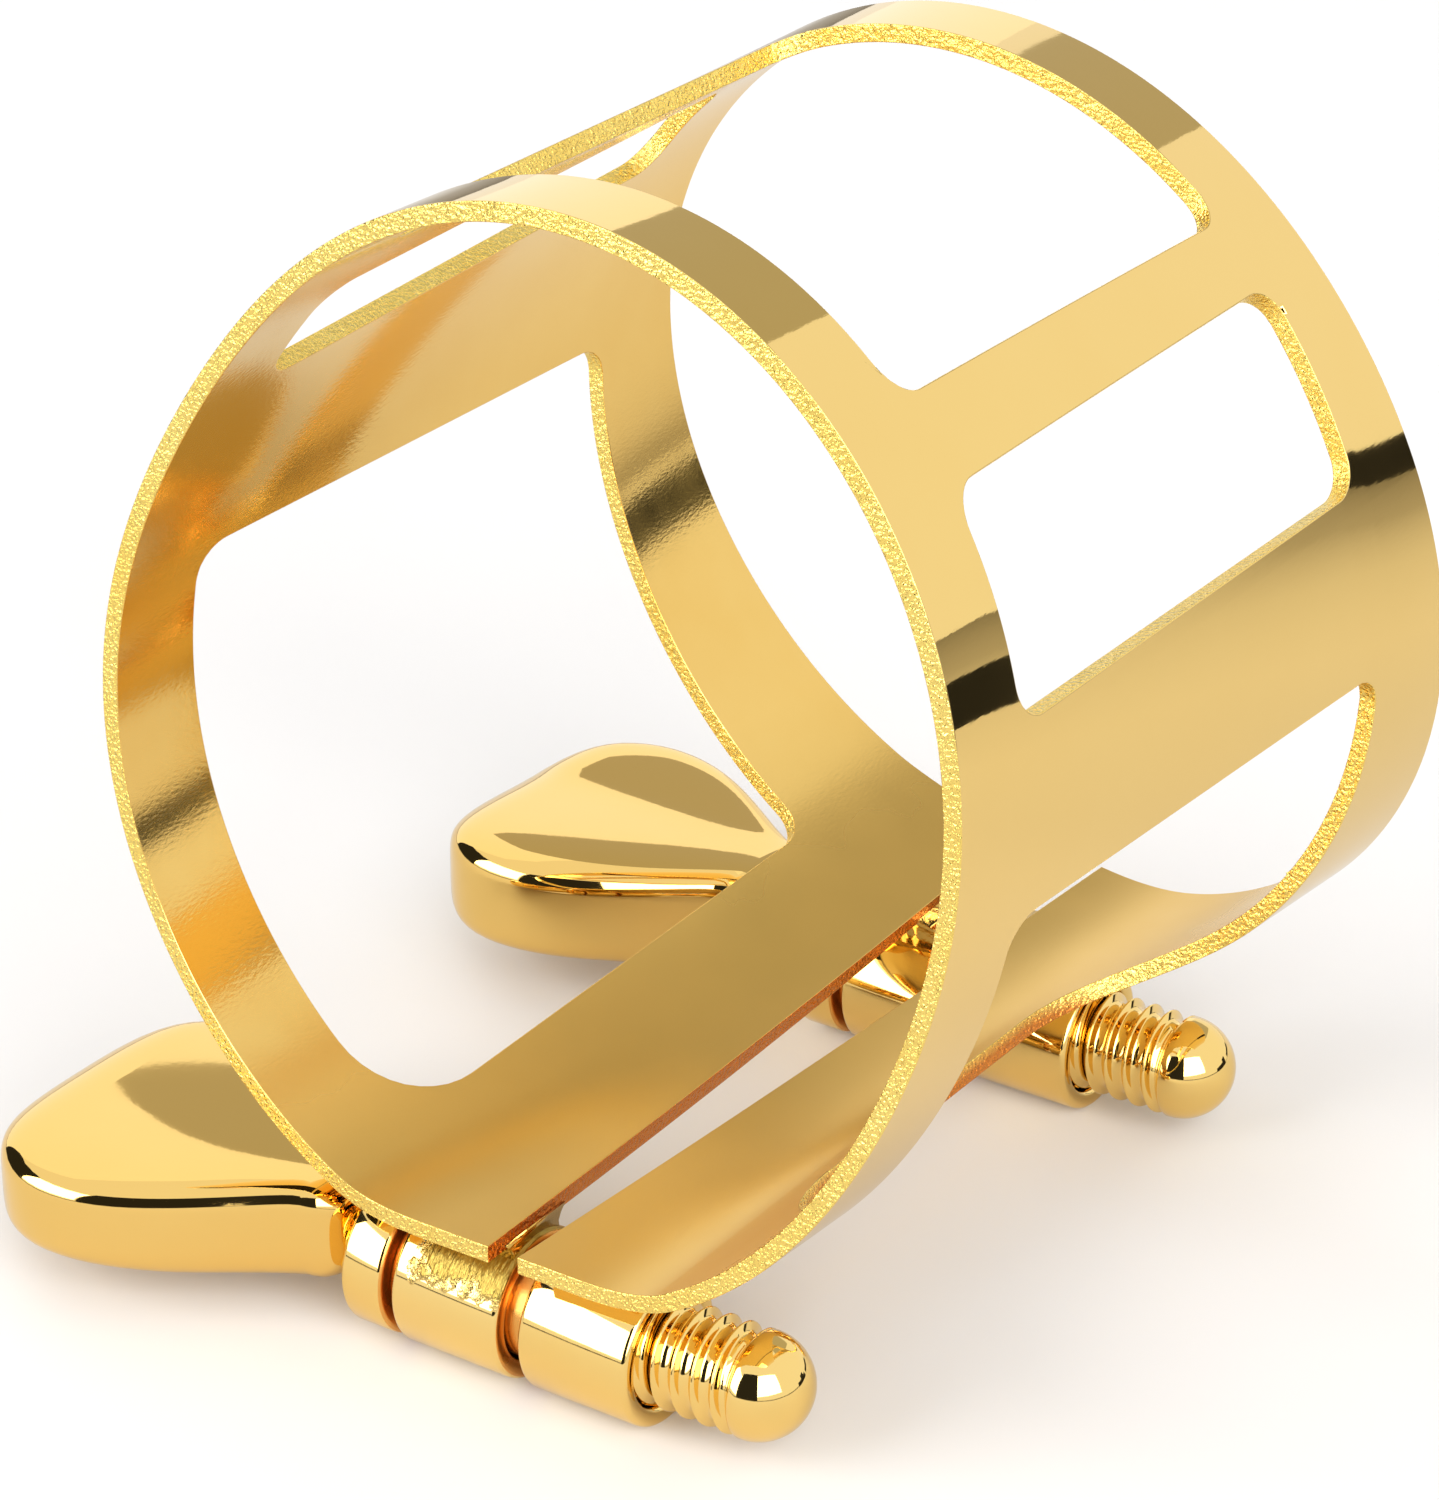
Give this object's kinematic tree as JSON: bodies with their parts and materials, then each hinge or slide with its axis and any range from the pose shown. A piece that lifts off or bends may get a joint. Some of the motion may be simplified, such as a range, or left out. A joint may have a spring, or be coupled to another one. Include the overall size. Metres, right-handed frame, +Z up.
{
  "type": "mouthpiece ligature",
  "caption": "Windowed sheet band, open along its bottom, drawn together by paddle-headed cross screws in soldered barrels, to clamp a reed on a saxophone mouthpiece.",
  "frame": {"origin": "middle of the front mouth, on the bore's axis", "axes": "+X along the screws from the paddles to the tips, +Y along the bore from the front mouth to the rear one, +Z up, away from the slit"},
  "size_m": [0.03, 0.0293, 0.0329],
  "materials": {
    "plated_brass": "bright gold plate, mirror polished",
    "plated_solder": "gold plated solder, left rough"
  },
  "bodies": {
    "band_body": {"band": "plated_brass", "front_plain_barrel": "plated_brass", "front_threaded_barrel": "plated_brass", "rear_plain_barrel": "plated_brass", "rear_threaded_barrel": "plated_brass", "front_plain_solder": "plated_solder", "front_threaded_solder": "plated_solder", "rear_plain_solder": "plated_solder", "rear_threaded_solder": "plated_solder"},
    "front_screw_body": {"front_screw": "plated_brass"},
    "rear_screw_body": {"rear_screw": "plated_brass"},
    "front_paddle_body": {"front_paddle": "plated_brass"},
    "rear_paddle_body": {"rear_paddle": "plated_brass"}
  },
  "joints": [
    {"name": "front_travel", "type": "slide", "parent": "band_body", "child": "front_screw_body", "axis": [1, 0, 0], "range_m": [-0.0018, 0.0003]},
    {"name": "front_turn", "type": "hinge", "parent": "front_screw_body", "child": "front_paddle_body", "pos_m": [0, 0.002, -0.0161], "axis": [1, 0, 0], "range_deg": [-1081, 181]},
    {"name": "rear_travel", "type": "slide", "parent": "band_body", "child": "rear_screw_body", "axis": [1, 0, 0], "range_m": [-0.0018, 0.0003]},
    {"name": "rear_turn", "type": "hinge", "parent": "rear_screw_body", "child": "rear_paddle_body", "pos_m": [0, 0.0217, -0.0161], "axis": [1, 0, 0], "range_deg": [-1081, 181]}
  ],
  "couplings": [
    {"joint": "front_turn", "follows": "front_travel", "rad_per_m": 10472},
    {"joint": "rear_turn", "follows": "rear_travel", "rad_per_m": 10472}
  ]
}
